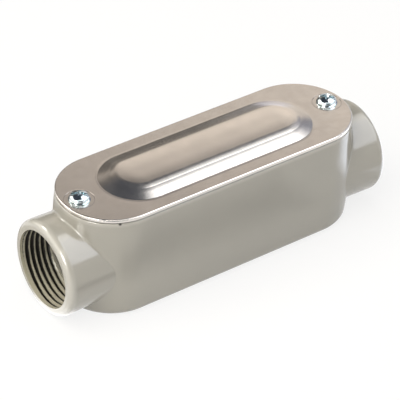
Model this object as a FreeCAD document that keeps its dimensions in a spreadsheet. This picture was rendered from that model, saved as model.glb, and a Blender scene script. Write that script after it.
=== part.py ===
import FreeCAD, Part
import math
import os
import Sketcher

# Straight-through conduit body, 1 inch trade size: a die-cast housing with a female-threaded
# hub at each end, a fibre gasket, a pressed sheet cover and its two screws.
# Frame: X runs along the hubs, Z is up towards the cover, and the origin lies on the back
# face, below the middle of the housing.

doc = FreeCAD.newDocument("ConduitBody")
sheet = doc.addObject("Spreadsheet::Sheet", "Sizes")

# Driving sizes, in millimetres and degrees
sizes = [
    ("bodyLength", 123.6, "housing without its hubs, at the rim"),
    ("hubProjection", 9.2, "hub mouth beyond the end of the housing"),
    ("hubRadius", 18.35, "outside of each hub, at its mouth"),
    ("hubDraft", 1.2, "casting draft of the hubs, narrower at the housing"),
    ("hubLift", 0.25, "hub above the back face"),
    ("mouthRound", 2.4, "rolled outer edge of the hub mouth"),
    ("rootRound", 1.0, "fillet where a hub leaves the housing"),
    ("hubBoreRadius", 14.85, "hub bore at the thread crests"),
    ("threadDepth", 12.8, "threaded length from the mouth"),
    ("throatRadius", 13.3, "smooth wire way past the thread"),
    ("throatRound", 1.0, "bushed edge of the wire way"),
    ("sideMargin", 2.1, "housing beyond the hubs, on each side"),
    ("rimMargin", 4.35, "rim above the hubs"),
    ("bodyRadius", "=hubRadius + sideMargin", "half the housing's width, and its round ends"),
    ("bodyHeight", "=2 * hubRadius + hubLift + rimMargin", "back face to rim"),
    ("sideDraft", 0.8, "casting draft of the outer wall"),
    ("endSwell", 1.4, "round ends further out at the height of the hubs than at the rim"),
    ("backRound", 3.0, "edge of the back face"),
    ("rimRound", 0.4, "outer edge of the rim"),
    ("wallThickness", 2.7, "side wall at the rim"),
    ("floorThickness", 2.8, "back wall"),
    ("floorRound", 2.0, "inner edge of the floor"),
    ("endPocketDepth", 4.1, "relief beside each screw boss"),
    ("bossRadius", 4.1, "screw boss"),
    ("screwInset", 6.5, "screw axis from the end of the housing"),
    ("screwRadius", 2.083, "No. 8 screw, outside of its thread"),
    ("screwFit", 0.05, "running room round the screw in its boss"),
    ("screwLength", 9.5, "under the head"),
    ("screwTipRoom", 0.5, "hole below the screw's tip"),
    ("screwPoint", 0.5, "bevel at the screw's tip"),
    ("headRadius", 3.98, "screw head"),
    ("headHeight", 2.8, "screw head"),
    ("headSide", 0.9, "upright part of the head's side"),
    ("headCorner", 1.35, "rounding of the head's shoulder"),
    ("slotWidth", 1.15, "driver slot"),
    ("slotDepth", 1.0, "driver slot, at the crown"),
    ("crossSpan", 4.5, "cross recess, wing tip to wing tip"),
    ("crossWidth", 1.05, "cross recess wing"),
    ("crossDepth", 1.9, "cross recess, at the crown"),
    ("leftSlotAngle", -34.0, "slot of the left screw"),
    ("rightSlotAngle", -49.0, "slot of the right screw"),
    ("gasketThickness", 0.5, "gasket under the tightened cover"),
    ("gasketInset", 0.5, "gasket edge inside the rim's edge"),
    ("gasketScrewGap", 0.6, "gasket hole round each screw"),
    ("gasketEndWidth", 10.9, "gasket from its opening to the housing's end"),
    ("coverThickness", 1.2, "cover sheet"),
    ("coverEdgeRound", 0.5, "upper edge of the cover"),
    ("coverHoleGap", 0.3, "cover hole round each screw"),
    ("dimpleDepth", 0.12, "coined seat round each screw hole"),
    ("dimpleMargin", 1.5, "coined seat beyond the screw head"),
    ("panelSideMargin", 5.75, "cover rim beside the raised panel"),
    ("panelEndMargin", 16.8, "cover rim at the ends of the panel"),
    ("panelHeight", 2.1, "rise of the panel"),
    ("panelShoulder", 7.6, "width of the panel's sloping border"),
    ("panelCrown", 8.0, "rounding at the top of the slope"),
    ("panelFoot", 1.0, "fillet at the foot of the slope"),
    ("panelSkirt", 1.0, "flat sheet drawn with the panel"),
]
for row, (alias, value, meaning) in enumerate(sizes, start=1):
    sheet.set("A%d" % row, meaning)
    sheet.set("B%d" % row, str(value))
    sheet.setAlias("B%d" % row, alias)
doc.recompute()


def size(alias):
    return float(sheet.get(alias))


# Expressions that more than one piece shares
mouthPlace = "(Sizes.bodyLength / 2 + Sizes.hubProjection)"
endCentre = "(Sizes.bodyLength / 2 - Sizes.bodyRadius)"
hubAxisHeight = "(Sizes.hubRadius + Sizes.hubLift)"
screwPlace = "(Sizes.bodyLength / 2 - Sizes.screwInset)"
innerRadius = "(Sizes.bodyRadius - Sizes.wallThickness)"
panelRadius = "(Sizes.bodyRadius - Sizes.panelSideMargin)"
panelCentre = "(Sizes.bodyLength / 2 - Sizes.panelEndMargin - %s)" % panelRadius
coverSeat = "(Sizes.bodyHeight + Sizes.gasketThickness)"
headSeat = "(%s + Sizes.coverThickness - Sizes.dimpleDepth)" % coverSeat
mouthPlaceNow = size("bodyLength") / 2 + size("hubProjection")
endCentreNow = size("bodyLength") / 2 - size("bodyRadius")
screwPlaceNow = size("bodyLength") / 2 - size("screwInset")
innerRadiusNow = size("bodyRadius") - size("wallThickness")
panelRadiusNow = size("bodyRadius") - size("panelSideMargin")
panelCentreNow = size("bodyLength") / 2 - size("panelEndMargin") - panelRadiusNow

start, end, centre = range(1, 4)
origin = (-1, 1)
levelAxis, uprightAxis = range(-1, -3, -1)
slopeRounds = 40  # rounds that settle the slope between two tangent arcs


# Helpers for bodies, sketches and features
def newBody(name):
    body = doc.addObject("PartDesign::Body", name)
    body.Label = name
    return body


def planeOf(body, role):
    return [item for item in body.Origin.OriginFeatures if item.Role == role][0]


def newSketch(body, name, plane, offsets=None):
    sketch = body.newObject("Sketcher::SketchObject", name)
    sketch.AttachmentSupport = [(planeOf(body, plane), "")]
    sketch.MapMode = "FlatFace"
    for direction, formula in (offsets or {}).items():
        sketch.setExpression(".AttachmentOffset.Base." + direction, formula)
    return sketch


def addFeature(body, kind, name, sketch=None, **settings):
    feature = body.newObject("PartDesign::" + kind, name)
    if sketch is not None:
        feature.Profile = sketch
        sketch.Visibility = False
    for key, value in settings.items():
        if isinstance(value, str) and "Sizes." in value:
            feature.setExpression(key, value)
        else:
            setattr(feature, key, value)
    doc.recompute()
    return feature


def line(sketch, first, second):
    return sketch.addGeometry(Part.LineSegment(FreeCAD.Vector(*first, 0), FreeCAD.Vector(*second, 0)))


def arc(sketch, middle, radius, fromAngle, toAngle):
    circle = Part.Circle(FreeCAD.Vector(*middle, 0), FreeCAD.Vector(0, 0, 1), radius)
    return sketch.addGeometry(Part.ArcOfCircle(circle, math.radians(fromAngle), math.radians(toAngle)))


def fix(sketch, kind, *where):
    return sketch.addConstraint(Sketcher.Constraint(kind, *where))


def measure(sketch, kind, *where, formula, guess):
    number = sketch.addConstraint(Sketcher.Constraint(kind, *where, guess))
    sketch.setExpression("Constraints[%d]" % number, formula)
    return number


def circle(sketch, place, radius, placeNow, radiusNow):
    # A circle centred on the sketch's level axis
    middle = FreeCAD.Vector(placeNow, 0, 0)
    ring = sketch.addGeometry(Part.Circle(middle, FreeCAD.Vector(0, 0, 1), radiusNow))
    fix(sketch, "PointOnObject", ring, centre, levelAxis)
    measure(sketch, "Radius", ring, formula=radius, guess=radiusNow)
    if place is None:
        fix(sketch, "PointOnObject", ring, centre, uprightAxis)
    elif placeNow > 0:
        measure(sketch, "DistanceX", *origin, ring, centre, formula=place, guess=placeNow)
    else:
        measure(sketch, "DistanceX", ring, centre, *origin, formula=place, guess=-placeNow)
    return ring


def screwCircles(sketch, radius, radiusNow):
    for side in (1, -1):
        circle(sketch, screwPlace, radius, side * screwPlaceNow, radiusNow)


def stadium(sketch, place, radius, placeNow, radiusNow):
    # Two straight sides and two round ends, centred on the origin
    right = arc(sketch, (placeNow, 0), radiusNow, -90, 90)
    top = line(sketch, (placeNow, radiusNow), (-placeNow, radiusNow))
    left = arc(sketch, (-placeNow, 0), radiusNow, 90, 270)
    bottom = line(sketch, (-placeNow, -radiusNow), (placeNow, -radiusNow))
    fix(sketch, "Tangent", right, end, top, start)
    fix(sketch, "Tangent", top, end, left, start)
    fix(sketch, "Tangent", left, end, bottom, start)
    fix(sketch, "Tangent", bottom, end, right, start)
    fix(sketch, "Symmetric", right, centre, left, centre, *origin)
    fix(sketch, "PointOnObject", right, centre, levelAxis)
    fix(sketch, "Equal", right, left)
    measure(sketch, "Radius", right, formula=radius, guess=radiusNow)
    measure(sketch, "DistanceX", *origin, right, centre, formula=place, guess=placeNow)


def edgesWhere(feature, test):
    names = []
    for number, edge in enumerate(feature.Shape.Edges, start=1):
        if test(edge):
            names.append("Edge%d" % number)
    return names


def flatAt(height):
    return lambda edge: all(abs(vertex.Z - height) < 0.001 for vertex in edge.Vertexes)


# Housing: drafted outline that swells at its ends towards the height of the hubs
housing = newBody("conduit_body")


def blockOutline(name, height, place, placeNow):
    sketch = newSketch(housing, name, "XY_Plane", {"z": height})
    radius = "(Sizes.bodyRadius - (Sizes.bodyHeight - %s) * tan(Sizes.sideDraft * 1 deg))" % height
    stadium(sketch, place, radius, placeNow, size("bodyRadius"))
    sketch.Visibility = False
    return sketch


swellPlace = "(%s + Sizes.endSwell)" % endCentre
rimOutline = blockOutline("RimOutline", "Sizes.bodyHeight", endCentre, endCentreNow)
hubLevelOutline = blockOutline(
    "HubLevelOutline", hubAxisHeight, swellPlace, endCentreNow + size("endSwell")
)
backOutline = blockOutline("BackOutline", "0 * Sizes.bodyHeight", endCentre, endCentreNow)
doc.recompute()
block = addFeature(
    housing, "AdditiveLoft", "HousingBlock", rimOutline, Sections=[hubLevelOutline, backOutline]
)
backEdges = edgesWhere(block, flatAt(0.0))
backRounding = addFeature(
    housing, "Fillet", "BackRounding", Base=(block, backEdges), Radius="Sizes.backRound"
)
rimEdges = edgesWhere(backRounding, flatAt(size("bodyHeight")))
addFeature(housing, "Fillet", "RimRounding", Base=(backRounding, rimEdges), Radius="Sizes.rimRound")

# Hubs: one barrel from mouth to mouth, which the chamber then divides
barrelOutline = newSketch(housing, "BarrelOutline", "YZ_Plane", {"y": hubAxisHeight})
waistRadius = "Sizes.hubRadius - %s * tan(Sizes.hubDraft * 1 deg)" % mouthPlace
hubLean = math.tan(math.radians(size("hubDraft")))
circle(barrelOutline, None, waistRadius, 0, size("hubRadius") - mouthPlaceNow * hubLean)
barrel = addFeature(
    housing, "Pad", "Barrel", barrelOutline, Length="2 * %s" % mouthPlace, SideType="Symmetric",
    TaperAngle="Sizes.hubDraft",
)


def isMouthEdge(edge):
    return all(abs(abs(vertex.X) - mouthPlaceNow) < 0.001 for vertex in edge.Vertexes)


def beyondBarrel(point):
    # Distance from the barrel's drafted surface
    axisHeight = size("hubRadius") + size("hubLift")
    radiusHere = size("hubRadius") - (mouthPlaceNow - abs(point.x)) * hubLean
    return math.hypot(point.y, point.z - axisHeight) - radiusHere


def isHubRoot(edge):
    # Lies on the barrel's surface where it leaves the housing's round end
    first, last = edge.ParameterRange
    points = [edge.valueAt(first + (last - first) * share) for share in (0.1, 0.5, 0.9)]
    onBarrel = all(abs(beyondBarrel(point)) < 0.002 for point in points)
    inside = all(abs(point.x) < size("bodyLength") / 2 + size("endSwell") for point in points)
    alongAxis = max(point.x for point in points) - min(point.x for point in points) > 0.2
    return onBarrel and inside and (alongAxis or abs(points[1].z) < size("backRound"))


mouthEdges = edgesWhere(barrel, isMouthEdge)
mouthRounding = addFeature(
    housing, "Fillet", "MouthRounding", Base=(barrel, mouthEdges), Radius="Sizes.mouthRound"
)
rootEdges = edgesWhere(mouthRounding, isHubRoot)
addFeature(housing, "Fillet", "HubRootRounding", Base=(mouthRounding, rootEdges), Radius="Sizes.rootRound")

# Relief at each end of the opening, beside the screw boss
reliefOutline = newSketch(housing, "ReliefOutline", "XY_Plane", {"z": "Sizes.bodyHeight"})
stadium(reliefOutline, endCentre, innerRadius, endCentreNow, innerRadiusNow)
addFeature(housing, "Pocket", "Relief", reliefOutline, Length="Sizes.endPocketDepth")

# Wire chamber: the housing's outline inset by the wall, cut off square where the hubs begin
chamberOutline = newSketch(housing, "ChamberOutline", "XY_Plane", {"z": "Sizes.bodyHeight"})
chamberEnd = "(%s - Sizes.bossRadius)" % screwPlace
chamberEndNow = screwPlaceNow - size("bossRadius")
turn = math.degrees(math.acos((chamberEndNow - endCentreNow) / innerRadiusNow))
reach = innerRadiusNow * math.sin(math.radians(turn))
rightUpper = arc(chamberOutline, (endCentreNow, 0), innerRadiusNow, turn, 90)
farSide = line(chamberOutline, (endCentreNow, innerRadiusNow), (-endCentreNow, innerRadiusNow))
leftUpper = arc(chamberOutline, (-endCentreNow, 0), innerRadiusNow, 90, 180 - turn)
leftWall = line(chamberOutline, (-chamberEndNow, reach), (-chamberEndNow, -reach))
leftLower = arc(chamberOutline, (-endCentreNow, 0), innerRadiusNow, 180 + turn, 270)
nearSide = line(chamberOutline, (-endCentreNow, -innerRadiusNow), (endCentreNow, -innerRadiusNow))
rightLower = arc(chamberOutline, (endCentreNow, 0), innerRadiusNow, 270, 360 - turn)
rightWall = line(chamberOutline, (chamberEndNow, -reach), (chamberEndNow, reach))
fix(chamberOutline, "Tangent", rightUpper, end, farSide, start)
fix(chamberOutline, "Tangent", farSide, end, leftUpper, start)
fix(chamberOutline, "Coincident", leftUpper, end, leftWall, start)
fix(chamberOutline, "Coincident", leftWall, end, leftLower, start)
fix(chamberOutline, "Tangent", leftLower, end, nearSide, start)
fix(chamberOutline, "Tangent", nearSide, end, rightLower, start)
fix(chamberOutline, "Coincident", rightLower, end, rightWall, start)
fix(chamberOutline, "Coincident", rightWall, end, rightUpper, start)
fix(chamberOutline, "Vertical", rightWall)
fix(chamberOutline, "Vertical", leftWall)
fix(chamberOutline, "Equal", rightWall, leftWall)
for roundPiece in (leftUpper, leftLower, rightLower):
    fix(chamberOutline, "Equal", rightUpper, roundPiece)
fix(chamberOutline, "PointOnObject", rightUpper, centre, levelAxis)
fix(chamberOutline, "Coincident", rightUpper, centre, rightLower, centre)
fix(chamberOutline, "Coincident", leftUpper, centre, leftLower, centre)
fix(chamberOutline, "Symmetric", rightUpper, centre, leftUpper, centre, *origin)
measure(chamberOutline, "Radius", rightUpper, formula=innerRadius, guess=innerRadiusNow)
measure(chamberOutline, "DistanceX", *origin, rightUpper, centre, formula=endCentre, guess=endCentreNow)
measure(chamberOutline, "DistanceX", *origin, rightWall, end, formula=chamberEnd, guess=chamberEndNow)
chamber = addFeature(
    housing, "Pocket", "WireChamber", chamberOutline, Length="Sizes.bodyHeight - Sizes.floorThickness"
)
floorEdges = edgesWhere(chamber, flatAt(size("floorThickness")))
addFeature(housing, "Fillet", "FloorRounding", Base=(chamber, floorEdges), Radius="Sizes.floorRound")

# Screw bosses, from the floor of the relief to the rim
bossOutline = newSketch(housing, "BossOutline", "XY_Plane", {"z": "Sizes.bodyHeight"})
screwCircles(bossOutline, "Sizes.bossRadius", size("bossRadius"))
addFeature(housing, "Pad", "ScrewBosses", bossOutline, Length="Sizes.endPocketDepth", Reversed=True)

# Wire way through both hubs, with its bushed edge inside the chamber
throatOutline = newSketch(housing, "ThroatOutline", "YZ_Plane", {"y": hubAxisHeight})
circle(throatOutline, None, "Sizes.throatRadius", 0, size("throatRadius"))
throat = addFeature(
    housing, "Pocket", "WireWay", throatOutline, Length="2 * %s" % mouthPlace, SideType="Symmetric"
)


def isThroatEdge(edge):
    round_ = isinstance(edge.Curve, Part.Circle) and abs(edge.Curve.Radius - size("throatRadius")) < 0.001
    return round_ and abs(abs(edge.Vertexes[0].X) - chamberEndNow) < 0.001


throatEdges = edgesWhere(throat, isThroatEdge)
addFeature(housing, "Fillet", "BushedEdge", Base=(throat, throatEdges), Radius="Sizes.throatRound")

# Threaded bore of each hub, at the crests of its thread
boreOutline = newSketch(housing, "BoreOutline", "YZ_Plane", {"y": hubAxisHeight, "z": mouthPlace})
circle(boreOutline, None, "Sizes.hubBoreRadius", 0, size("hubBoreRadius"))
bore = addFeature(housing, "Pocket", "HubBore", boreOutline, Length="Sizes.threadDepth")
bothBores = addFeature(
    housing, "Mirrored", "BothBores", Originals=[bore], MirrorPlane=(planeOf(housing, "YZ_Plane"), [""])
)
housing.Tip = bothBores
doc.recompute()

# Screw holes
holeOutline = newSketch(housing, "ScrewHoleOutline", "XY_Plane", {"z": "Sizes.bodyHeight"})
screwCircles(holeOutline, "Sizes.screwRadius + Sizes.screwFit", size("screwRadius") + size("screwFit"))
holeDepth = "Sizes.bodyHeight - %s + Sizes.screwLength + Sizes.screwTipRoom" % headSeat
addFeature(housing, "Pocket", "ScrewHoles", holeOutline, Length=holeDepth)

# Gasket: a flat ring on the rim, widened at its ends to take the screws
gasket = newBody("gasket")
gasket.setExpression(".Placement.Base.z", "Sizes.bodyHeight")
gasketOutline = newSketch(gasket, "GasketOutline", "XY_Plane")
gasketOpening = "(%s - (Sizes.gasketEndWidth - Sizes.wallThickness))" % endCentre
gasketOpeningNow = endCentreNow - (size("gasketEndWidth") - size("wallThickness"))
gasketHole = "Sizes.screwRadius + Sizes.gasketScrewGap"
stadium(
    gasketOutline, endCentre, "Sizes.bodyRadius - Sizes.gasketInset", endCentreNow,
    size("bodyRadius") - size("gasketInset"),
)
stadium(gasketOutline, gasketOpening, innerRadius, gasketOpeningNow, innerRadiusNow)
screwCircles(gasketOutline, gasketHole, size("screwRadius") + size("gasketScrewGap"))
addFeature(gasket, "Pad", "GasketSheet", gasketOutline, Length="Sizes.gasketThickness")

# Cover: flat rim first, with an opening that the raised panel fills
cover = newBody("cover")
cover.setExpression(".Placement.Base.z", coverSeat)
skirtReach = "(%s + Sizes.panelSkirt)" % panelRadius
skirtReachNow = panelRadiusNow + size("panelSkirt")
rimOutline = newSketch(cover, "CoverRimOutline", "XY_Plane")
stadium(rimOutline, endCentre, "Sizes.bodyRadius", endCentreNow, size("bodyRadius"))
stadium(rimOutline, panelCentre, skirtReach, panelCentreNow, skirtReachNow)
addFeature(cover, "Pad", "CoverRim", rimOutline, Length="Sizes.coverThickness")


def panelSection(name, plane, offsets=None):
    # Half of the panel's cross-section: sheet of one thickness that climbs from the rim to the
    # raised field, with a tight fillet at the foot of the slope and a wide rounding at its top
    sheetNow, rise = size("coverThickness"), size("panelHeight")
    crown, foot, flat = size("panelCrown"), size("panelFoot"), size("panelSkirt")
    fieldEdge = panelRadiusNow - size("panelShoulder")
    top = sheetNow + rise
    run, both = size("panelShoulder"), crown + foot
    slope = math.atan2(rise, run)
    for _ in range(slopeRounds):
        straight = (run - both * math.sin(slope)) / math.cos(slope)
        error = both * (1 - math.cos(slope)) + straight * math.sin(slope) - rise
        slope -= error / run
    sine, cosine, tilt = math.sin(slope), math.cos(slope), math.degrees(slope)
    crownMiddle = (fieldEdge, top - crown)
    footMiddle = (panelRadiusNow, sheetNow + foot)

    def onCrown(radius):
        return (crownMiddle[0] + radius * sine, crownMiddle[1] + radius * cosine)

    def onFoot(radius):
        return (footMiddle[0] - radius * sine, footMiddle[1] - radius * cosine)

    sketch = newSketch(cover, name, plane, offsets)
    field = line(sketch, (0, top), (fieldEdge, top))
    outerCrown = arc(sketch, crownMiddle, crown, 90 - tilt, 90)
    ramp = line(sketch, onCrown(crown), onFoot(foot))
    outerFoot = arc(sketch, footMiddle, foot, 270 - tilt, 270)
    skirt = line(sketch, (panelRadiusNow, sheetNow), (skirtReachNow, sheetNow))
    skirtEdge = line(sketch, (skirtReachNow, sheetNow), (skirtReachNow, 0))
    underSkirt = line(sketch, (skirtReachNow, 0), (panelRadiusNow, 0))
    innerFoot = arc(sketch, footMiddle, foot + sheetNow, 270 - tilt, 270)
    underRamp = line(sketch, onFoot(foot + sheetNow), onCrown(crown - sheetNow))
    innerCrown = arc(sketch, crownMiddle, crown - sheetNow, 90 - tilt, 90)
    underField = line(sketch, (fieldEdge, top - sheetNow), (0, top - sheetNow))
    middle = line(sketch, (0, top - sheetNow), (0, top))
    fix(sketch, "Tangent", field, end, outerCrown, end)
    fix(sketch, "Tangent", outerCrown, start, ramp, start)
    fix(sketch, "Tangent", ramp, end, outerFoot, start)
    fix(sketch, "Tangent", outerFoot, end, skirt, start)
    fix(sketch, "Coincident", skirt, end, skirtEdge, start)
    fix(sketch, "Coincident", skirtEdge, end, underSkirt, start)
    fix(sketch, "Tangent", underSkirt, end, innerFoot, end)
    fix(sketch, "Tangent", innerFoot, start, underRamp, start)
    fix(sketch, "Tangent", underRamp, end, innerCrown, start)
    fix(sketch, "Tangent", innerCrown, end, underField, start)
    fix(sketch, "Coincident", underField, end, middle, start)
    fix(sketch, "Coincident", middle, end, field, start)
    for level in (field, skirt, underSkirt, underField):
        fix(sketch, "Horizontal", level)
    fix(sketch, "Vertical", skirtEdge)
    fix(sketch, "Vertical", middle)
    fix(sketch, "Coincident", outerCrown, centre, innerCrown, centre)
    fix(sketch, "Coincident", outerFoot, centre, innerFoot, centre)
    fix(sketch, "PointOnObject", middle, start, uprightAxis)
    fix(sketch, "PointOnObject", skirtEdge, end, levelAxis)
    sheetUp = dict(formula="Sizes.coverThickness", guess=sheetNow)
    measure(sketch, "DistanceY", skirtEdge, end, skirtEdge, start, **sheetUp)
    measure(sketch, "DistanceY", middle, start, middle, end, **sheetUp)
    measure(sketch, "DistanceY", skirt, start, field, end, formula="Sizes.panelHeight", guess=rise)
    measure(sketch, "Radius", outerCrown, formula="Sizes.panelCrown", guess=crown)
    measure(sketch, "Radius", outerFoot, formula="Sizes.panelFoot", guess=foot)
    measure(sketch, "DistanceX", *origin, skirt, start, formula=panelRadius, guess=panelRadiusNow)
    measure(sketch, "DistanceX", skirt, start, skirt, end, formula="Sizes.panelSkirt", guess=flat)
    measure(sketch, "DistanceX", field, end, skirt, start, formula="Sizes.panelShoulder", guess=run)
    return sketch


sideSection = panelSection("PanelSideSection", "YZ_Plane")
panelSide = addFeature(
    cover, "Pad", "PanelSide", sideSection, Length="2 * %s" % panelCentre, SideType="Symmetric"
)
bothSides = addFeature(
    cover, "Mirrored", "PanelSides", Originals=[panelSide], MirrorPlane=(planeOf(cover, "XZ_Plane"), [""])
)
cover.Tip = bothSides
doc.recompute()
endSection = panelSection("PanelEndSection", "XZ_Plane", {"x": panelCentre})
panelEnd = addFeature(
    cover, "Revolution", "PanelEnd", endSection,
    ReferenceAxis=(endSection, ["V_Axis"]), Angle=180.0, Midplane=True,
)
bothEnds = addFeature(
    cover, "Mirrored", "PanelEnds", Originals=[panelEnd], MirrorPlane=(planeOf(cover, "YZ_Plane"), [""])
)
cover.Tip = bothEnds
doc.recompute()


# Cover edge, coined screw seats and screw holes
def isCoverEdge(edge):
    level = all(abs(vertex.Z - size("coverThickness")) < 0.001 for vertex in edge.Vertexes)
    box = edge.BoundBox
    side = abs(max(abs(box.YMin), abs(box.YMax)) - size("bodyRadius")) < 0.001
    return level and side


coverEdges = edgesWhere(bothEnds, isCoverEdge)
addFeature(
    cover, "Fillet", "CoverEdgeRounding", Base=(bothEnds, coverEdges), Radius="Sizes.coverEdgeRound"
)
seatOutline = newSketch(cover, "ScrewSeatOutline", "XY_Plane", {"z": "Sizes.coverThickness"})
screwCircles(seatOutline, "Sizes.headRadius + Sizes.dimpleMargin", size("headRadius") + size("dimpleMargin"))
addFeature(cover, "Pocket", "ScrewSeats", seatOutline, Length="Sizes.dimpleDepth")
coverHoleOutline = newSketch(cover, "CoverHoleOutline", "XY_Plane", {"z": "Sizes.coverThickness"})
coverHole = "Sizes.screwRadius + Sizes.coverHoleGap"
screwCircles(coverHoleOutline, coverHole, size("screwRadius") + size("coverHoleGap"))
addFeature(cover, "Pocket", "CoverHoles", coverHoleOutline, Length="2 * Sizes.coverThickness")


# Cover screws: round head with a slot and a cross recess
def coverScrew(name, side, slotAngle):
    screw = newBody(name)
    screw.setExpression(".Placement.Base.x", "%d * %s" % (side, screwPlace))
    screw.setExpression(".Placement.Base.z", headSeat)
    screw.Placement.Rotation = FreeCAD.Rotation(FreeCAD.Vector(0, 0, 1), size(slotAngle))
    shank, long, point = size("screwRadius"), size("screwLength"), size("screwPoint")
    head, tall, upright = size("headRadius"), size("headHeight"), size("headSide")
    corner = size("headCorner")
    drop = tall - upright - corner
    inner = head - corner
    crown = (inner * inner + drop * drop) / (2 * drop) + corner
    lean = math.degrees(math.asin(inner / (crown - corner)))
    profile = newSketch(screw, name + "Profile", "XZ_Plane")
    tip = line(profile, (0, -long), (shank - point, -long))
    bevel = line(profile, (shank - point, -long), (shank, point - long))
    side_ = line(profile, (shank, point - long), (shank, 0))
    under = line(profile, (shank, 0), (head, 0))
    headSide = line(profile, (head, 0), (head, upright))
    shoulder = arc(profile, (inner, upright), corner, 0, 90 - lean)
    dome = arc(profile, (0, tall - crown), crown, 90 - lean, 90)
    axis = line(profile, (0, tall), (0, -long))
    fix(profile, "Coincident", tip, end, bevel, start)
    fix(profile, "Coincident", bevel, end, side_, start)
    fix(profile, "Coincident", side_, end, under, start)
    fix(profile, "Coincident", under, end, headSide, start)
    fix(profile, "Tangent", headSide, end, shoulder, start)
    fix(profile, "Tangent", shoulder, end, dome, start)
    fix(profile, "Coincident", dome, end, axis, start)
    fix(profile, "Coincident", axis, end, tip, start)
    fix(profile, "Horizontal", tip)
    fix(profile, "Vertical", side_)
    fix(profile, "Vertical", headSide)
    fix(profile, "PointOnObject", under, start, levelAxis)
    fix(profile, "PointOnObject", under, end, levelAxis)
    fix(profile, "PointOnObject", dome, centre, uprightAxis)
    fix(profile, "PointOnObject", axis, start, uprightAxis)
    fix(profile, "PointOnObject", axis, end, uprightAxis)
    measure(profile, "DistanceX", *origin, side_, end, formula="Sizes.screwRadius", guess=shank)
    measure(profile, "DistanceY", tip, start, *origin, formula="Sizes.screwLength", guess=long)
    measure(profile, "DistanceX", tip, end, bevel, end, formula="Sizes.screwPoint", guess=point)
    measure(profile, "DistanceY", bevel, start, bevel, end, formula="Sizes.screwPoint", guess=point)
    measure(profile, "DistanceX", *origin, under, end, formula="Sizes.headRadius", guess=head)
    measure(profile, "DistanceY", *origin, headSide, end, formula="Sizes.headSide", guess=upright)
    measure(profile, "Radius", shoulder, formula="Sizes.headCorner", guess=corner)
    measure(profile, "DistanceY", *origin, axis, start, formula="Sizes.headHeight", guess=tall)
    addFeature(
        screw, "Revolution", name + "Blank", profile, ReferenceAxis=(profile, ["V_Axis"]), Angle=360.0
    )
    slot = newSketch(screw, name + "Slot", "XY_Plane", {"z": "Sizes.headHeight"})
    bar(slot, "2 * Sizes.headRadius", "Sizes.slotWidth", 2 * head, size("slotWidth"))
    addFeature(screw, "Pocket", name + "SlotCut", slot, Length="Sizes.slotDepth")
    cross = newSketch(screw, name + "Cross", "XY_Plane", {"z": "Sizes.headHeight"})
    bar(cross, "Sizes.crossSpan", "Sizes.crossWidth", size("crossSpan"), size("crossWidth"))
    wing = addFeature(screw, "Pocket", name + "CrossCut", cross, Length="Sizes.crossDepth")
    wings = addFeature(
        screw, "PolarPattern", name + "CrossWings", Originals=[wing], Axis=(cross, ["N_Axis"]),
        Angle=90.0, Occurrences=2,
    )
    screw.Tip = wings
    doc.recompute()
    return screw


def bar(sketch, long, wide, longNow, wideNow):
    # A rectangle centred on the origin
    x, y = longNow / 2, wideNow / 2
    corners = [(x, -y), (x, y), (-x, y), (-x, -y)]
    sides = [line(sketch, corners[k], corners[(k + 1) % 4]) for k in range(4)]
    for k in range(4):
        fix(sketch, "Coincident", sides[k], end, sides[(k + 1) % 4], start)
    fix(sketch, "Vertical", sides[0])
    fix(sketch, "Horizontal", sides[1])
    fix(sketch, "Vertical", sides[2])
    fix(sketch, "Horizontal", sides[3])
    fix(sketch, "Symmetric", sides[0], end, sides[2], end, *origin)
    measure(sketch, "DistanceX", sides[1], end, sides[1], start, formula=long, guess=longNow)
    measure(sketch, "DistanceY", sides[0], start, sides[0], end, formula=wide, guess=wideNow)


leftScrew = coverScrew("left_cover_screw", -1, "leftSlotAngle")
rightScrew = coverScrew("right_cover_screw", 1, "rightSlotAngle")
doc.recompute()

# Every feature has to be sound before anything is written
for item in doc.Objects:
    if "Invalid" in item.State or "Error" in item.State:
        raise RuntimeError("%s failed: %s" % (item.Name, item.State))
pieces = [housing, gasket, cover, leftScrew, rightScrew]
for piece in pieces:
    if piece.Shape.isNull() or not piece.Shape.isValid() or len(piece.Shape.Solids) != 1:
        raise RuntimeError("%s has no single sound solid" % piece.Label)

os.makedirs("parts", exist_ok=True)
for piece in pieces:
    piece.Shape.exportStep("parts/%s.step" % piece.Label)
    box = piece.Shape.BoundBox
    print(
        "%-18s volume %9.1f mm3, X %.2f to %.2f, Y %.2f to %.2f, Z %.2f to %.2f"
        % (piece.Label, piece.Shape.Volume, box.XMin, box.XMax, box.YMin, box.YMax, box.ZMin, box.ZMax)
    )
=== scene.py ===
import math

import bmesh
import bpy
from mathutils import Matrix, Vector


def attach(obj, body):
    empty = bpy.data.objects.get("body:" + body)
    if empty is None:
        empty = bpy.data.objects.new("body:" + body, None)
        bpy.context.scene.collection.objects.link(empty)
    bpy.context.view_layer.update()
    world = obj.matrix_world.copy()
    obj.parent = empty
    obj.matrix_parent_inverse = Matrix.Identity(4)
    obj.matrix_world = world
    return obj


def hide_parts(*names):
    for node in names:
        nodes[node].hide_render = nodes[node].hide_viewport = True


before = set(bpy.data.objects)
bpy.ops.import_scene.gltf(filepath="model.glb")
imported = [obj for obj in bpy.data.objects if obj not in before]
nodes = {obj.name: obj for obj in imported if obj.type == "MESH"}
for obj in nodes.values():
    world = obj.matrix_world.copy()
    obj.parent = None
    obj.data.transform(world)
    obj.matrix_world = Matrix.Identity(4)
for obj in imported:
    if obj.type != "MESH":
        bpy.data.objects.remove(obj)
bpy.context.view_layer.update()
mm = 0.001
print("frame loaded:", ", ".join(sorted(nodes)))


# small helpers
def linkObject(name, mesh):
    piece = bpy.data.objects.new(name, mesh)
    bpy.context.scene.collection.objects.link(piece)
    return piece


def smoothShade(mesh, degrees=35):
    mesh.polygons.foreach_set("use_smooth", [True] * len(mesh.polygons))
    mesh.set_sharp_from_angle(angle=math.radians(degrees))
    mesh.update()


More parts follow.
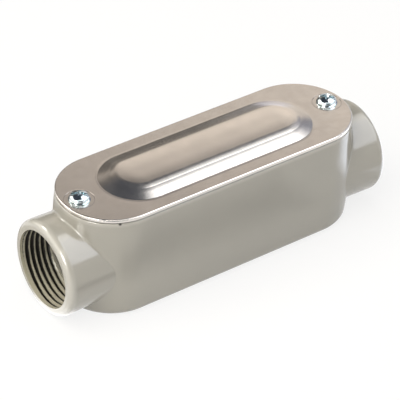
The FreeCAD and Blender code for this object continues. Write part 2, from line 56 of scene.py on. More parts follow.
def dress(piece, material):
    piece.data.materials.clear()
    piece.data.materials.append(material)


class Shader:
    # a node tree that is filled in from left to right
    def __init__(self, name):
        self.material = bpy.data.materials.new(name)
        self.material.use_nodes = True
        self.tree = self.material.node_tree
        self.tree.nodes.clear()
        self.column = 0
        self.output = self.add("ShaderNodeOutputMaterial")

    def add(self, kind, **inputs):
        node = self.tree.nodes.new(kind)
        self.column += 1
        node.location = (-220 * self.column, -80 * (self.column % 5))
        for key, value in inputs.items():
            self.feed(node.inputs[key.replace("_", " ")], value)
        return node

    def feed(self, socket, value):
        if isinstance(value, bpy.types.NodeSocket):
            self.tree.links.new(value, socket)
        else:
            socket.default_value = value

    def place(self):
        return self.add("ShaderNodeTexCoord").outputs["Object"]

    def noise(self, scale, detail=2.0, roughness=0.5, stretch=None):
        vector = self.place()
        if stretch:
            mapping = self.add("ShaderNodeMapping", Vector=vector)
            mapping.inputs["Scale"].default_value = stretch
            vector = mapping.outputs["Vector"]
        kind = "ShaderNodeTexNoise"
        return self.add(kind, Vector=vector, Scale=scale, Detail=detail, Roughness=roughness).outputs["Fac"]

    def range(self, value, fromLow, fromHigh, toLow, toHigh, smooth=False):
        node = self.add("ShaderNodeMapRange", Value=value)
        node.interpolation_type = "SMOOTHSTEP" if smooth else "LINEAR"
        ends = {"From Min": fromLow, "From Max": fromHigh, "To Min": toLow, "To Max": toHigh}
        for key, number in ends.items():
            node.inputs[key].default_value = number
        return node.outputs["Result"]

    def blend(self, factor, first, second):
        node = self.add("ShaderNodeMix")
        node.data_type = "RGBA"
        for socket, value in ((0, factor), (6, first), (7, second)):
            self.feed(node.inputs[socket], value)
        return node.outputs[2]

    def reckon(self, operation, first, second=0.0):
        node = self.add("ShaderNodeMath")
        node.operation = operation
        for socket, value in zip(node.inputs, (first, second)):
            self.feed(socket, value)
        return node.outputs[0]

    def reach(self, first, second):
        # how far a place lies from an axis
        squares = self.reckon("ADD", self.reckon("POWER", first, 2), self.reckon("POWER", second, 2))
        return self.reckon("SQRT", squares)

    def bump(self, height, strength, distance, normal=None):
        node = self.add("ShaderNodeBump", Height=height, Strength=strength, Distance=distance)
        if normal:
            self.tree.links.new(normal, node.inputs["Normal"])
        return node.outputs["Normal"]

    def glow(self, colour, strength):
        node = self.add("ShaderNodeEmission", Strength=strength)
        node.inputs["Color"].default_value = (*colour, 1)
        return node

    def layer(self, factor, under, over):
        node = self.add("ShaderNodeMixShader", Fac=factor)
        self.tree.links.new(under.outputs[0], node.inputs[1])
        self.tree.links.new(over.outputs[0], node.inputs[2])
        return node

    def finish(self, shader):
        self.tree.links.new(shader.outputs[0], self.output.inputs["Surface"])
        return self.material


# grey enamel of the housing
enamel = {
    "light": (0.325, 0.313, 0.277, 1),
    "dark": (0.308, 0.297, 0.264, 1),
    "mouthHighlight": (0.435, 0.425, 0.39, 1),   # painted highlight: lighter enamel at the hub mouths
    "rim": (0.385, 0.372, 0.335, 1),      # painted highlight along the top edge of the housing, below the cover
    "mouthBand": (0.0680, 0.0706),
    "rimHighlightBand": (0.0395, 0.0408),
    "chip": (-0.0505, -0.0184, 0.0413),   # knocked dark on the near left edge
    "chipSize": (0.0004, 0.0008),
    "chipColour": (0.03, 0.027, 0.022, 1),
    "cloudScale": 26,
    "roughness": (0.10, 0.15),
    "peelScale": 620,
    "peelDepth": 0.00003,
}


def enamelPaint():
    shader = Shader("greyEnamel")
    cloud = shader.noise(enamel["cloudScale"], 3, 0.55)
    colour = shader.blend(shader.range(cloud, 0.35, 0.65, 0, 1), enamel["light"], enamel["dark"])
    place = shader.add("ShaderNodeSeparateXYZ", Vector=shader.place()).outputs
    # painted highlight: a lighter band along the top edge below the cover
    colour = shader.blend(shader.range(place["Z"], *enamel["rimHighlightBand"], 0, 1), colour, enamel["rim"])
    # painted highlight: the hub mouths are made lighter
    reach = shader.reckon("ABSOLUTE", place["X"])
    colour = shader.blend(shader.range(reach, *enamel["mouthBand"], 0, 1), colour, enamel["mouthHighlight"])
    gap = shader.add("ShaderNodeVectorMath")
    gap.operation = "DISTANCE"
    shader.tree.links.new(shader.place(), gap.inputs[0])
    gap.inputs[1].default_value = enamel["chip"]
    chipped = shader.range(gap.outputs["Value"], *enamel["chipSize"], 1, 0)
    colour = shader.blend(chipped, colour, enamel["chipColour"])
    gloss = shader.range(shader.noise(90, 2), 0.3, 0.7, *enamel["roughness"])
    peel = shader.bump(shader.noise(enamel["peelScale"], 1, 0.4), 0.35, enamel["peelDepth"])
    paint = shader.add("ShaderNodeBsdfPrincipled", Base_Color=colour, Roughness=gloss, Normal=peel)
    paint.inputs["IOR"].default_value = 1.5
    paint.inputs["Specular IOR Level"].default_value = 1.0
    return shader.finish(paint)


# enamel in the hub threads: lighter on the crests; black in the roots, painted shade with some grime,
# reaching further up the flanks on the upper far side
threadEnamel = {
    "crest": (0.40, 0.38, 0.30, 1),
    "root": (0.012, 0.010, 0.008, 1),
    "shadeRadius": 0.01488,    # radius beyond which painted shade blackens the thread, at the upper far side
    "lowShadeRadius": 0.01555,  # the same at the lower near side, where the painted shade starts deeper
    "fade": 0.00025,
    "speck": 0.00012,
    "roughness": (0.22, 0.5),
    "axisHeight": 0.0186,
}


def threadPaint():
    shader = Shader("threadEnamel")
    place = shader.add("ShaderNodeSeparateXYZ", Vector=shader.place())
    lift = shader.reckon("SUBTRACT", place.outputs["Z"], threadEnamel["axisHeight"])
    radius = shader.reach(place.outputs["Y"], lift)
    speck = shader.range(shader.noise(700, 3, 0.6), 0.3, 0.7, -threadEnamel["speck"], threadEnamel["speck"])
    # painted shade: the thread turns black from the roots outward, starting nearer the crests on the upper
    # far side
    down = shader.reckon("MULTIPLY", lift, -0.75)
    near = shader.reckon("MULTIPLY", place.outputs["Y"], -0.65)
    lower = shader.reckon("ADD", down, near)
    shadeRadius = shader.range(lower, -0.006, 0.009, threadEnamel["shadeRadius"], threadEnamel["lowShadeRadius"])
    over = shader.reckon("SUBTRACT", shader.reckon("ADD", radius, speck), shadeRadius)
    depth = shader.range(over, 0, threadEnamel["fade"], 0, 1)
    colour = shader.blend(depth, threadEnamel["crest"], threadEnamel["root"])
    dull = shader.range(depth, 0, 1, *threadEnamel["roughness"])
    paint = shader.add("ShaderNodeBsdfPrincipled", Base_Color=colour, Roughness=dull)
    paint.inputs["IOR"].default_value = 1.5
    paint.inputs["Specular IOR Level"].default_value = 0.5
    return shader.finish(paint)


# bare sheet of the cover
sheet = {
    "light": (0.79, 0.752, 0.712, 1),
    "dark": (0.74, 0.698, 0.654, 1),
    "plateau": (0.91, 0.856, 0.796, 1),   # wiped clean on the raised panel
    "plateauEdge": (0.0088, 0.0104),
    "plateauShare": 0.8,
    "roughness": (0.20, 0.26),
    "grainScale": 1500,
    "waveScale": 38,
    "panelMiddle": 0.0303,   # where the panel's round ends begin
    "crownReach": 0.0103,    # the panel is faintly crowned out to here
    "crownRise": 0.00034,
    "crownPower": 1.6,
    "screwPlace": 0.0553,
    "seatEdge": 0.00548,     # burr round the coined seat
    "seatWide": 0.00022,
    "seatRise": 0.00003,
    "seatLine": (0.00004, 0.00014),
    "seatDull": (0.60, 0.565, 0.53, 1),
    "ease": (0.0099, 0.0116),    # the top of the panel's slope is eased off
    "easeRise": 0.00007,
    "foot": (0.0150, 0.0154),    # the slope runs out in a small hollow
    "footRise": 0.00003,
    "endMiddle": 0.04135,    # where the cover's round ends begin
    "rollOff": (0.01985, 0.02044),   # the cover's edge is rolled over by the shears
    "rollRise": 0.00008,
}


def bareSheet():
    shader = Shader("bareCoverSheet")
    mottle = shader.noise(240, 4, 0.65)
    colour = shader.blend(shader.range(mottle, 0.3, 0.7, 0, 1), sheet["dark"], sheet["light"])
    dull = shader.range(shader.noise(130, 3, 0.6), 0.3, 0.7, *sheet["roughness"])
    place = shader.add("ShaderNodeSeparateXYZ", Vector=shader.place()).outputs
    along = shader.reckon("ABSOLUTE", place["X"])

    def distance(middle, past):
        out = shader.reckon("SUBTRACT", along, middle)
        return shader.reach(shader.reckon("MAXIMUM", out, 0) if past else out, place["Y"])

    spread = distance(sheet["panelMiddle"], True)
    wiped = shader.range(spread, *sheet["plateauEdge"], sheet["plateauShare"], 0)
    colour = shader.blend(wiped, colour, sheet["plateau"])
    beyond = shader.reckon("SUBTRACT", distance(sheet["screwPlace"], False), sheet["seatEdge"])
    step = shader.reckon("ABSOLUTE", beyond)
    colour = shader.blend(shader.range(step, *sheet["seatLine"], 1, 0), colour, sheet["seatDull"])
    share = shader.reckon("DIVIDE", spread, sheet["crownReach"])
    swell = shader.range(shader.reckon("POWER", share, sheet["crownPower"]), 0, 1, 1, 0, smooth=True)
    crown = shader.bump(swell, 1.0, sheet["crownRise"])
    eased = shader.reckon("POWER", shader.range(spread, *sheet["ease"], 1, 0), 2)
    slope = shader.bump(shader.reckon("SUBTRACT", 1.0, eased), 1.0, sheet["easeRise"], crown)
    hollow = shader.reckon("POWER", shader.range(spread, *sheet["foot"], 1, 0), 2)
    slope = shader.bump(hollow, 1.0, sheet["footRise"], slope)
    outward = shader.range(distance(sheet["endMiddle"], True), *sheet["rollOff"], 0, 1)
    rolled = shader.reckon("POWER", outward, 2)
    edge = shader.bump(shader.reckon("SUBTRACT", 1.0, rolled), 1.0, sheet["rollRise"], slope)
    burr = shader.bump(shader.range(step, 0, sheet["seatWide"], 1, 0), 1.0, sheet["seatRise"], edge)
    wave = shader.bump(shader.noise(sheet["waveScale"], 1), 0.25, 0.0006, burr)
    grain = shader.bump(shader.noise(sheet["grainScale"], 2, 0.6, (1, 0.35, 1)), 0.10, 0.00003, wave)
    metal = shader.add("ShaderNodeBsdfPrincipled", Base_Color=colour, Roughness=dull, Normal=grain)
    metal.inputs["Metallic"].default_value = 1.0
    return shader.finish(metal)


# bright plating of the screws
plating = {
    "light": (0.80, 0.85, 0.90, 1),
    "dark": (0.42, 0.54, 0.56, 1),
    "roughness": (0.08, 0.16),
}


def screwPlating():
    shader = Shader("brightPlating")
    patch = shader.noise(900, 3, 0.6)
    colour = shader.blend(shader.range(patch, 0.35, 0.65, 0, 1), plating["light"], plating["dark"])
    dull = shader.range(shader.noise(1400, 2), 0.3, 0.7, *plating["roughness"])
    metal = shader.add("ShaderNodeBsdfPrincipled", Base_Color=colour, Roughness=dull)
    metal.inputs["Metallic"].default_value = 1.0
    return shader.finish(metal)


# pressed fibre of the gasket
fibre = {"light": (0.075, 0.070, 0.064, 1), "dark": (0.045, 0.043, 0.040, 1), "roughness": 0.8}


def gasketFibre():
    shader = Shader("gasketFibre")
    speck = shader.noise(1800, 3, 0.7)
    colour = shader.blend(shader.range(speck, 0.4, 0.6, 0, 1), fibre["dark"], fibre["light"])
    rough = shader.bump(speck, 0.4, 0.00005)
    pressed = shader.add("ShaderNodeBsdfPrincipled", Base_Color=colour, Normal=rough)
    pressed.inputs["Roughness"].default_value = fibre["roughness"]
    return shader.finish(pressed)


paintMaterial = enamelPaint()
threadMaterial = threadPaint()
sheetMaterial = bareSheet()
platingMaterial = screwPlating()
fibreMaterial = gasketFibre()
print("finishes made")


# helical threads: a tube whose rows follow the helix, so that crests and roots stay crisp
def threadTube(name, start, inward, crest, pitch, length, sign, profile, depthAt, turnSteps):
    inward = Vector(inward).normalized()
    side = inward.orthogonal().normalized()
    across = inward.cross(side)
    rows = (math.ceil(length / pitch) + 2) * len(profile)
    points, faces = [], []
    for column in range(turnSteps + 1):
        turn = column / turnSteps
        spoke = side * math.cos(2 * math.pi * turn) + across * math.sin(2 * math.pi * turn)
        for row in range(rows):
            lap, step = divmod(row, len(profile))
            share, depth = profile[step]
            along = min(max((lap - 1 + share + turn) * pitch, 0), length)
            radius = crest + sign * depth * depthAt(along)
            points.append(Vector(start) + inward * along + spoke * radius)
    for column in range(turnSteps):
        for row in range(rows - 1):
            first = column * rows + row
            corners = [first, first + 1, first + rows + 1, first + rows]
            faces.append(corners if sign > 0 else corners[::-1])
    mesh = bpy.data.meshes.new(name)
    mesh.from_pydata(points, [], faces)
    work = bmesh.new()
    work.from_mesh(mesh)
    bmesh.ops.remove_doubles(work, verts=work.verts, dist=1e-7)
    bmesh.ops.dissolve_degenerate(work, edges=work.edges, dist=1e-7)
    work.to_mesh(mesh)
    work.free()
    smoothShade(mesh, 25)
    return mesh


# pipe thread in each hub of the housing
hubThread = {
    "mouth": 71.0,       # from the middle of the housing
    "axisHeight": 18.6,
    "crest": 14.85,
    "pitch": 2.209,
    "length": 12.8,
    "depth": 1.62,       # at the mouth; the roots taper, the crests don't
    "taper": 1 / 32,
    "lead": (1.1, 2.0),  # smooth to here, full depth from here
    "runout": 2.0,
    "flat": 0.18,        # share of the pitch that is crest
    "turnSteps": 180,
}


def hubDepth(along):
    deep = along / mm
    first, full = hubThread["lead"]
    rise = min(max((deep - first) / (full - first), 0), 1)
    fall = min(max((hubThread["length"] - deep) / hubThread["runout"], 0), 1)
    return (hubThread["depth"] - hubThread["taper"] * deep) * mm * rise * math.sqrt(fall)


def vProfile(flat):
    half = flat / 2
    flank = 0.45 - half  # leaves a root one tenth of the pitch wide
    rows = [(0.0, 0.0), (half, 0.0)]
    rows += [(half + flank * share, share) for share in (0.33, 0.66, 0.92)]
    rows += [(0.5, 1.0)]
    rows += [(1 - half - flank * share, share) for share in (0.92, 0.66, 0.33)]
    rows += [(1 - half, 0.0)]
    return rows


def onBore(point):
    radius = math.hypot(point.y, point.z - hubThread["axisHeight"] * mm)
    return abs(radius - hubThread["crest"] * mm) < 0.03 * mm


housing = nodes["conduit_body"]
wallGroup = housing.vertex_groups.new(name="plainBore")
wallPoints = set()
for face in housing.data.polygons:
    if all(onBore(housing.data.vertices[index].co) for index in face.vertices):
        wallPoints.update(face.vertices)
wallGroup.add(sorted(wallPoints), 1.0, "REPLACE")
hideBore = housing.modifiers.new("plainBoreHidden", "MASK")
hideBore.vertex_group = "plainBore"
hideBore.invert_vertex_group = True
dress(housing, paintMaterial)

for name, side in (("leftHubThread", -1), ("rightHubThread", 1)):
    tube = threadTube(
        name, (side * hubThread["mouth"] * mm, 0, hubThread["axisHeight"] * mm), (-side, 0, 0),
        hubThread["crest"] * mm, hubThread["pitch"] * mm, hubThread["length"] * mm, 1,
        vProfile(hubThread["flat"]), hubDepth, hubThread["turnSteps"],
    )
    piece = linkObject(name, tube)
    dress(piece, threadMaterial)
    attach(piece, "housing")
print("housing dressed, bore wall points hidden:", len(wallPoints))


# cover and gasket keep their own shape
dress(nodes["cover"], sheetMaterial)
dress(nodes["gasket"], fibreMaterial)


# cover screws: round head with a slot and a cross recess, machine thread below
screw = {
    "place": 55.3,        # from the middle of the housing
    "seat": 42.88,        # underside of the head
    "headRadius": 3.98,
    "flange": 0.32,
    "domeRadius": 3.62,
    "domeSide": 0.75,
    "headCorner": 1.45,
    "headHeight": 2.8,
    "slotWidth": 1.15,
    "slotDepth": 1.0,
    "crossSpan": 4.5,
    "crossWidth": 1.05,
    "crossDepth": 1.9,
    "shank": 2.083,
    "thread": 0.46,
    "pitch": 0.794,
    "length": 9.5,
    "point": 0.5,
    "edge": 0.07,         # worn edge of slot and recess
    "recessTaper": 0.55,  # foot of the cross recess against its top
    "threadFlat": 0.14,   # share of the pitch that is crest
    "threadLead": 0.4,
    "runout": 0.5,
    "headSteps": 72,
    "threadSteps": 48,
}


def headProfile():
    sizes = ("domeRadius", "domeSide", "headCorner", "headHeight")
    radius, side, corner, tall = (screw[key] for key in sizes)
    rim, flange = screw["headRadius"], screw["flange"]
    inner, drop = radius - corner, tall - side - corner
    crown = (inner * inner + drop * drop) / (2 * drop) + corner
    lean = math.asin(inner / (crown - corner))
    outline = [(screw["shank"] * 0.7, 0.0), (rim - 0.12, 0.0), (rim - 0.03, 0.04), (rim, 0.12)]
    outline += [(rim, flange - 0.1), (rim - 0.04, flange - 0.02), (rim - 0.12, flange + 0.02)]
    outline.append((radius + 0.1, flange + 0.08))
    outline += [(radius + 0.02, flange + 0.13), (radius, flange + 0.2), (radius, side)]
    for step in range(1, 9):
        angle = (math.pi / 2 - lean) * step / 8
        outline.append((inner + corner * math.cos(angle), side + corner * math.sin(angle)))
    for step in range(1, 9):
        angle = lean * (1 - step / 8)
        outline.append((crown * math.sin(angle), tall - crown + crown * math.cos(angle)))
    return outline


def spin(outline, steps):
    points, faces, rings = [], [], []
    for radius, height in outline:
        if radius < 1e-9:
            rings.append([len(points)])
            points.append((0, 0, height * mm))
            continue
        ring = []
        for step in range(steps):
            angle = 2 * math.pi * step / steps
            ring.append(len(points))
            x, y = radius * math.cos(angle), radius * math.sin(angle)
            points.append((x * mm, y * mm, height * mm))
        rings.append(ring)
    faces.append(rings[0][::-1])
    for lower, upper in zip(rings, rings[1:]):
        for step in range(steps):
            after = (step + 1) % steps
            if len(upper) == 1:
                faces.append((lower[step], lower[after], upper[0]))
            else:
                faces.append((lower[step], lower[after], upper[after], upper[step]))
    return points, faces


def recessTool(name, long, wide, deep, turn, taper):
    # a bar, narrower at its foot, that stands on the head's axis
    low, high = (screw["headHeight"] - deep) * mm, (screw["headHeight"] + 1) * mm
    points = []
    for height, shrink in ((low, taper), (high, 1.0)):
        for x, y in ((1, -1), (1, 1), (-1, 1), (-1, -1)):
            reach, half = long / 2 * shrink, wide / 2 * (0.5 + shrink / 2)
            point = Vector((x * reach * mm, y * half * mm, height))
            points.append(Matrix.Rotation(math.radians(turn), 3, "Z") @ point)
    faces = [(3, 2, 1, 0), (4, 5, 6, 7)]
    faces += [(k, (k + 1) % 4, (k + 1) % 4 + 4, k + 4) for k in range(4)]
    mesh = bpy.data.meshes.new(name)
    mesh.from_pydata(points, [], faces)
    return linkObject(name, mesh)


def applyModifiers(piece):
    graph = bpy.context.evaluated_depsgraph_get()
    made = bpy.data.meshes.new_from_object(piece.evaluated_get(graph))
    piece.modifiers.clear()
    piece.data = made


def coverScrew(name, node, body, side, slotTurn):
    points, faces = spin(headProfile(), screw["headSteps"])
    mesh = bpy.data.meshes.new(name)
    mesh.from_pydata(points, [], faces)
    head = linkObject(name, mesh)
    slot = (2.4 * screw["headRadius"], screw["slotWidth"], screw["slotDepth"])
    cross = (screw["crossSpan"], screw["crossWidth"], screw["crossDepth"])
    tools = [
        recessTool("slotTool", *slot, 0, 1.0),
        recessTool("crossToolA", *cross, 0, screw["recessTaper"]),
        recessTool("crossToolB", *cross, 90, screw["recessTaper"]),
    ]
    for tool in tools:
        cut = head.modifiers.new(tool.name, "BOOLEAN")
        cut.operation = "DIFFERENCE"
        cut.solver = "EXACT"
        cut.object = tool
    bpy.context.view_layer.update()
    applyModifiers(head)
    for tool in tools:
        bpy.data.objects.remove(tool)
    worn = head.modifiers.new("wornEdge", "BEVEL")
    worn.width = screw["edge"] * mm
    worn.segments = 2
    worn.limit_method = "ANGLE"
    worn.angle_limit = math.radians(38)
    bpy.context.view_layer.update()
    applyModifiers(head)

    def threadDepth(along):
        deep = along / mm
        rise = min(max((deep - screw["threadLead"]) / screw["runout"], 0), 1)
        fall = min(max((screw["length"] - screw["point"] - deep) / screw["runout"], 0), 1)
        return screw["thread"] * mm * rise * fall

    thread = threadTube(
        name + "Thread", (0, 0, 0), (0, 0, -1), screw["shank"] * mm, screw["pitch"] * mm,
        (screw["length"] - screw["point"]) * mm, -1, vProfile(screw["threadFlat"]), threadDepth,
        screw["threadSteps"],
    )
    work = bmesh.new()
    work.from_mesh(head.data)
    work.from_mesh(thread)
    foot = (screw["length"] - screw["point"]) * -mm
    cone = bmesh.ops.create_cone(
        work, cap_ends=True, segments=screw["threadSteps"], depth=screw["point"] * mm,
        radius1=(screw["shank"] - screw["point"]) * mm, radius2=screw["shank"] * mm,
    )
    bmesh.ops.translate(work, verts=cone["verts"], vec=(0, 0, foot - screw["point"] / 2 * mm))
    work.to_mesh(head.data)
    work.free()
    bpy.data.meshes.remove(thread)
    smoothShade(head.data, 32)
    place = Matrix.Translation((side * screw["place"] * mm, 0, screw["seat"] * mm))
    head.data.transform(place @ Matrix.Rotation(math.radians(slotTurn), 4, "Z"))
    dress(head, platingMaterial)
    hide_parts(node)
    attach(head, body)


coverScrew("leftCoverScrew", "left_cover_screw", "left_screw", -1, -34)
coverScrew("rightCoverScrew", "right_cover_screw", "right_screw", 1, -49)
print("screws cut and threaded")


# studio: white floor and surround, lamps for the light, and cards for what the gloss mirrors
studio = {
    "floorColour": (0.80, 0.80, 0.80, 1),
    "floorLift": 0.80,
    "floorReach": 3.0,
    "floorDrop": 0.00005,
    "roomLevel": 0.25,
    "lampAway": 1.2,
}

# lamps: across, up, width, height, radiance, colour
lamps = {
    "keySoftbox": (162, 38, 1.4, 1.0, 0.75, (1.0, 0.99, 0.98)),
    "warmFill": (-100, 46, 1.8, 1.1, 2.9, (1.0, 0.95, 0.85)),
    "topSoftbox": (-20, 76, 1.1, 1.1, 2.1, (1.0, 0.97, 0.92)),
}

# cards, farther ones first: across from and to, up from and to, strengths (low left, low right,
# high left, high right), colour, share of the card that fades out at its edges, distance
cards = {
    "overhead": ((-180, 180), (40, 89.9), (0.07, 0.07, 0.07, 0.07), (0.82, 0.90, 1.10), 0.0, 2.4),
    "backWall": ((-60, 60), (-3, 46), (0.14, 0.14, 0.11, 0.11), (1.0, 0.93, 0.86), 0.06, 2.3),
    "sideWall": ((50, 100), (-2, 50), (0.40, 0.90, 0.30, 0.70), (0.90, 0.94, 1.06), 0.08, 2.25),
    "lowWall": ((20, 60), (15, 34), (0.72, 0.76, 0.84, 0.86), (1.0, 0.91, 0.81), 0.08, 2.12),
    "lowRight": ((36, 60), (-6, 22), (0.80, 0.74, 0.80, 0.76), (1.0, 0.91, 0.82), 0.10, 2.1),
    "coolGap": ((56, 78), (8, 42), (0.24, 0.30, 0.20, 0.24), (0.84, 0.90, 1.14), 0.20, 2.08),
    "warmWall": ((20, 50), (27, 42.5), (0.78, 1.36, 0.15, 0.28), (1.0, 0.905, 0.815), 0.08, 2.05),
    "tableEdge": ((-60, 34), (-6.5, 3), (0.14, 0.14, 0.14, 0.14), (1.0, 0.94, 0.86), 0.05, 0.36),
    "leftGlow": ((-10, 26), (25, 36.5), (0.50, 0.50, 0.44, 0.44), (1.0, 0.90, 0.80), 0.15, 2.1),
    "shoulderGlow": ((51, 76), (50, 64), (0.40, 0.50, 0.42, 0.52), (0.94, 0.96, 1.0), 0.12, 2.02),
    "keyTop": ((68, 106), (50, 77), (2.4, 4.2, 2.4, 4.2), (1.0, 1.0, 1.0), 0.07, 2.0),
    "keySide": ((70, 106), (34, 54), (0.6, 3.6, 1.6, 4.2), (1.0, 1.0, 1.03), 0.18, 1.98),
    "keyFace": ((94, 158), (20, 77), (3.3, 2.9, 3.3, 2.9), (0.96, 0.99, 1.07), 0.08, 1.95),
    "fillFace": ((-128, -12), (1, 42), (2.6, 2.2, 2.6, 2.2), (1.0, 0.96, 0.88), 0.10, 2.0),
    "ribbonGlow": ((34, 50), (-6, 8), (0.8, 1.1, 0.7, 0.95), (0.95, 0.94, 1.04), 0.25, 0.36),
    "cameraSide": ((176, 222), (-2, 42), (0.22, 0.22, 0.30, 0.30), (0.92, 0.96, 1.0), 0.10, 1.92),
    "cameraHigh": ((150, 240), (38, 66), (1.5, 1.5, 1.9, 1.9), (1.0, 0.98, 0.95), 0.08, 1.94),
    "leftWindow": ((-122, -100), (12, 32), (14.0, 14.0, 14.0, 14.0), (1.0, 0.98, 0.94), 0.10, 1.9),
    "backWindow": ((-50, -26), (28, 44), (9.0, 9.0, 9.0, 9.0), (1.0, 0.98, 0.95), 0.10, 1.9),
}


# patches of the floor: corner, size, strength, colour, width of the faded edge, lift
floorPatches = {
    "rightSheen": ((0.078, -0.048), (0.078, 0.108), 2.6, (0.93, 0.97, 1.05), 0.014, 0.0001),
    "frontShade": ((-0.062, -0.064), (0.116, 0.031), 0.42, (0.90, 0.95, 1.08), 0.012, 0.0001),
    "leftShade": ((-0.118, 0.004), (0.105, 0.070), 0.35, (1.0, 0.92, 0.80), 0.012, 0.0001),
    "leftSheen": ((-0.082, -0.018), (0.020, 0.030), 3.2, (1.0, 1.0, 1.0), 0.009, 0.0002),
}


def seenDirectly(tree):
    # 1 for what the camera sees straight, in gloss or through glass, and 0 for light on its way
    path = tree.nodes.new("ShaderNodeLightPath")
    seen = path.outputs["Is Camera Ray"]
    for ray in ("Is Glossy Ray", "Is Transmission Ray"):
        larger = tree.nodes.new("ShaderNodeMath")
        larger.operation = "MAXIMUM"
        tree.links.new(seen, larger.inputs[0])
        tree.links.new(path.outputs[ray], larger.inputs[1])
        seen = larger.outputs[0]
    return seen


def floorPaint():
    shader = Shader("paleFloor")
    matte = shader.add("ShaderNodeBsdfDiffuse", Color=studio["floorColour"])
    lift = shader.range(seenDirectly(shader.tree), 0, 1, 0, studio["floorLift"])
    return shader.finish(shader.layer(lift, matte, shader.glow((1, 1, 1), 1.0)))


def flatPatch(name, x, y, wide, deep):
    mesh = bpy.data.meshes.new(name)
    corners = [(x, y, 0), (x + wide, y, 0), (x + wide, y + deep, 0), (x, y + deep, 0)]
    mesh.from_pydata(corners, [], [(0, 1, 2, 3)])
    return linkObject(name, mesh)


def floor():
    reach = studio["floorReach"]
    plane = flatPatch("floor", -reach, -reach, 2 * reach, 2 * reach)
    plane.data.materials.append(floorPaint())
    plane.location.z = -studio["floorDrop"]


def compass(across, up):
    # a direction: across is counted from +Y towards +X, up from the floor, in degrees
    a, e = math.radians(across), math.radians(up)
    return Vector((math.sin(a) * math.cos(e), math.cos(a) * math.cos(e), math.sin(e)))


middle = Vector((0, 0, 0.035))


def lamp(name, across, up, wide, high, radiance, colour):
    data = bpy.data.lights.new(name, "AREA")
    data.shape = "RECTANGLE"
    data.size, data.size_y = wide, high
    data.energy = radiance * math.pi * wide * high
    data.color = colour
    light = bpy.data.objects.new(name, data)
    bpy.context.scene.collection.objects.link(light)
    light.location = middle + compass(across, up) * studio["lampAway"]
    light.rotation_euler = (-compass(across, up)).to_track_quat("-Z", "Y").to_euler()
    light.visible_glossy = False


def glossOnly(patch, material):
    patch.data.materials.append(material)
    patch.visible_camera = False
    patch.visible_diffuse = False
    patch.visible_transmission = False
    patch.visible_shadow = False


def card(name, across, up, strength, colour, fade, away):
    # a patch of a sphere round the object, seen in gloss only
    steps = 16
    points, faces = [], []
    for row in range(steps + 1):
        for column in range(steps + 1):
            a = across[0] + (across[1] - across[0]) * column / steps
            e = up[0] + (up[1] - up[0]) * row / steps
            points.append(middle + compass(a, e) * away)
    for row in range(steps):
        for column in range(steps):
            first = row * (steps + 1) + column
            faces.append((first, first + 1, first + steps + 2, first + steps + 1))
    mesh = bpy.data.meshes.new(name)
    mesh.from_pydata(points, [], faces)
    spread = mesh.uv_layers.new(name="spread")
    for corner, loop in enumerate(mesh.loops):
        row, column = divmod(loop.vertex_index, steps + 1)
        spread.data[corner].uv = (column / steps, row / steps)
    patch = linkObject(name, mesh)
    shader = Shader(name + "Face")
    side = shader.add("ShaderNodeSeparateXYZ", Vector=shader.add("ShaderNodeUVMap").outputs[0])
    low = shader.range(side.outputs["X"], 0, 1, strength[0], strength[1])
    high = shader.range(side.outputs["X"], 0, 1, strength[2], strength[3])
    rise = shader.reckon("MULTIPLY", side.outputs["Y"], shader.reckon("SUBTRACT", high, low))
    shown = shader.glow(colour, shader.reckon("ADD", low, rise))
    if fade:
        edges = [side.outputs["X"], side.outputs["Y"]]
        edges += [shader.reckon("SUBTRACT", 1.0, edge) for edge in edges]
        nearest = edges[0]
        for edge in edges[1:]:
            nearest = shader.reckon("MINIMUM", nearest, edge)
        clear = shader.add("ShaderNodeBsdfTransparent")
        shown = shader.layer(shader.range(nearest, 0, fade, 0, 1), clear, shown)
    glossOnly(patch, shader.finish(shown))


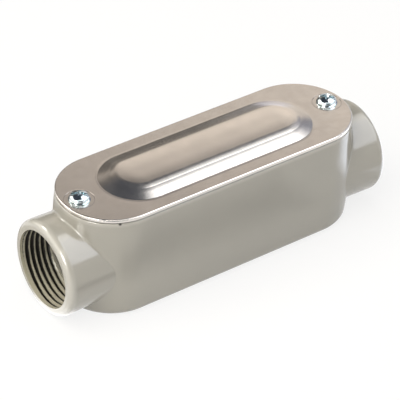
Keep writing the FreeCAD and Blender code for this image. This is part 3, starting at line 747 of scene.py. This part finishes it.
def floorSheen(name, corner, size, strength, colour, fade, lift):
    # a lighter or darker patch of the floor, seen in gloss only
    patch = flatPatch(name, *corner, *size)
    patch.location.z = lift
    shader = Shader(name + "Face")
    place = shader.add("ShaderNodeSeparateXYZ", Vector=shader.place())
    nearest = 1.0
    for axis, low, reach in zip("XY", corner, size):
        high = low + reach
        for ramp in ((low, low + fade, 0, 1), (high - fade, high, 1, 0)):
            inside = shader.range(place.outputs[axis], *ramp)
            nearest = shader.reckon("MINIMUM", nearest, inside)
    clear = shader.add("ShaderNodeBsdfTransparent")
    shown = shader.layer(nearest, clear, shader.glow(colour, strength))
    glossOnly(patch, shader.finish(shown))


def surround():
    world = bpy.data.worlds.new("studioRoom")
    bpy.context.scene.world = world
    world.use_nodes = True
    tree = world.node_tree
    tree.nodes.clear()
    level = tree.nodes.new("ShaderNodeMapRange")
    level.inputs["To Min"].default_value = studio["roomLevel"]
    level.inputs["To Max"].default_value = 1.0
    tree.links.new(seenDirectly(tree), level.inputs["Value"])
    room = tree.nodes.new("ShaderNodeBackground")
    room.inputs["Color"].default_value = (1, 1, 1, 1)
    tree.links.new(level.outputs["Result"], room.inputs["Strength"])
    output = tree.nodes.new("ShaderNodeOutputWorld")
    tree.links.new(room.outputs[0], output.inputs["Surface"])


floor()
surround()
for name, softbox in lamps.items():
    lamp(name, *softbox)
for name, face in cards.items():
    card(name, *face)
for name, sheen in floorPatches.items():
    floorSheen(name, *sheen)
print("studio set up")


# camera at the photograph's viewing angle
camera = {
    "across": -37.24,
    "up": 35.78,
    "roll": 2.03,
    "away": 0.8522,
    "lens": 209.54,
    "shift": (-0.01385, -0.02898),
    "aim": (0, 0, 0.025357),
}


def photoCamera():
    data = bpy.data.cameras.new("photoCamera")
    eye = bpy.data.objects.new("photoCamera", data)
    bpy.context.scene.collection.objects.link(eye)
    a, e, roll = (math.radians(camera[key]) for key in ("across", "up", "roll"))
    back = Vector((math.sin(a) * math.cos(e), -math.cos(a) * math.cos(e), math.sin(e)))
    right = Vector((math.cos(a), math.sin(a), 0))
    up = back.cross(right)
    tiltedRight = right * math.cos(roll) + up * math.sin(roll)
    tiltedUp = up * math.cos(roll) - right * math.sin(roll)
    turn = Matrix((tiltedRight, tiltedUp, back)).transposed().to_4x4()
    eye.matrix_world = Matrix.Translation(Vector(camera["aim"]) + back * camera["away"]) @ turn
    data.sensor_width = 36
    data.lens = camera["lens"]
    data.shift_x, data.shift_y = camera["shift"]
    data.clip_start, data.clip_end = 0.01, 20
    bpy.context.scene.camera = eye


photoCamera()
bpy.context.scene.view_settings.view_transform = "Standard"
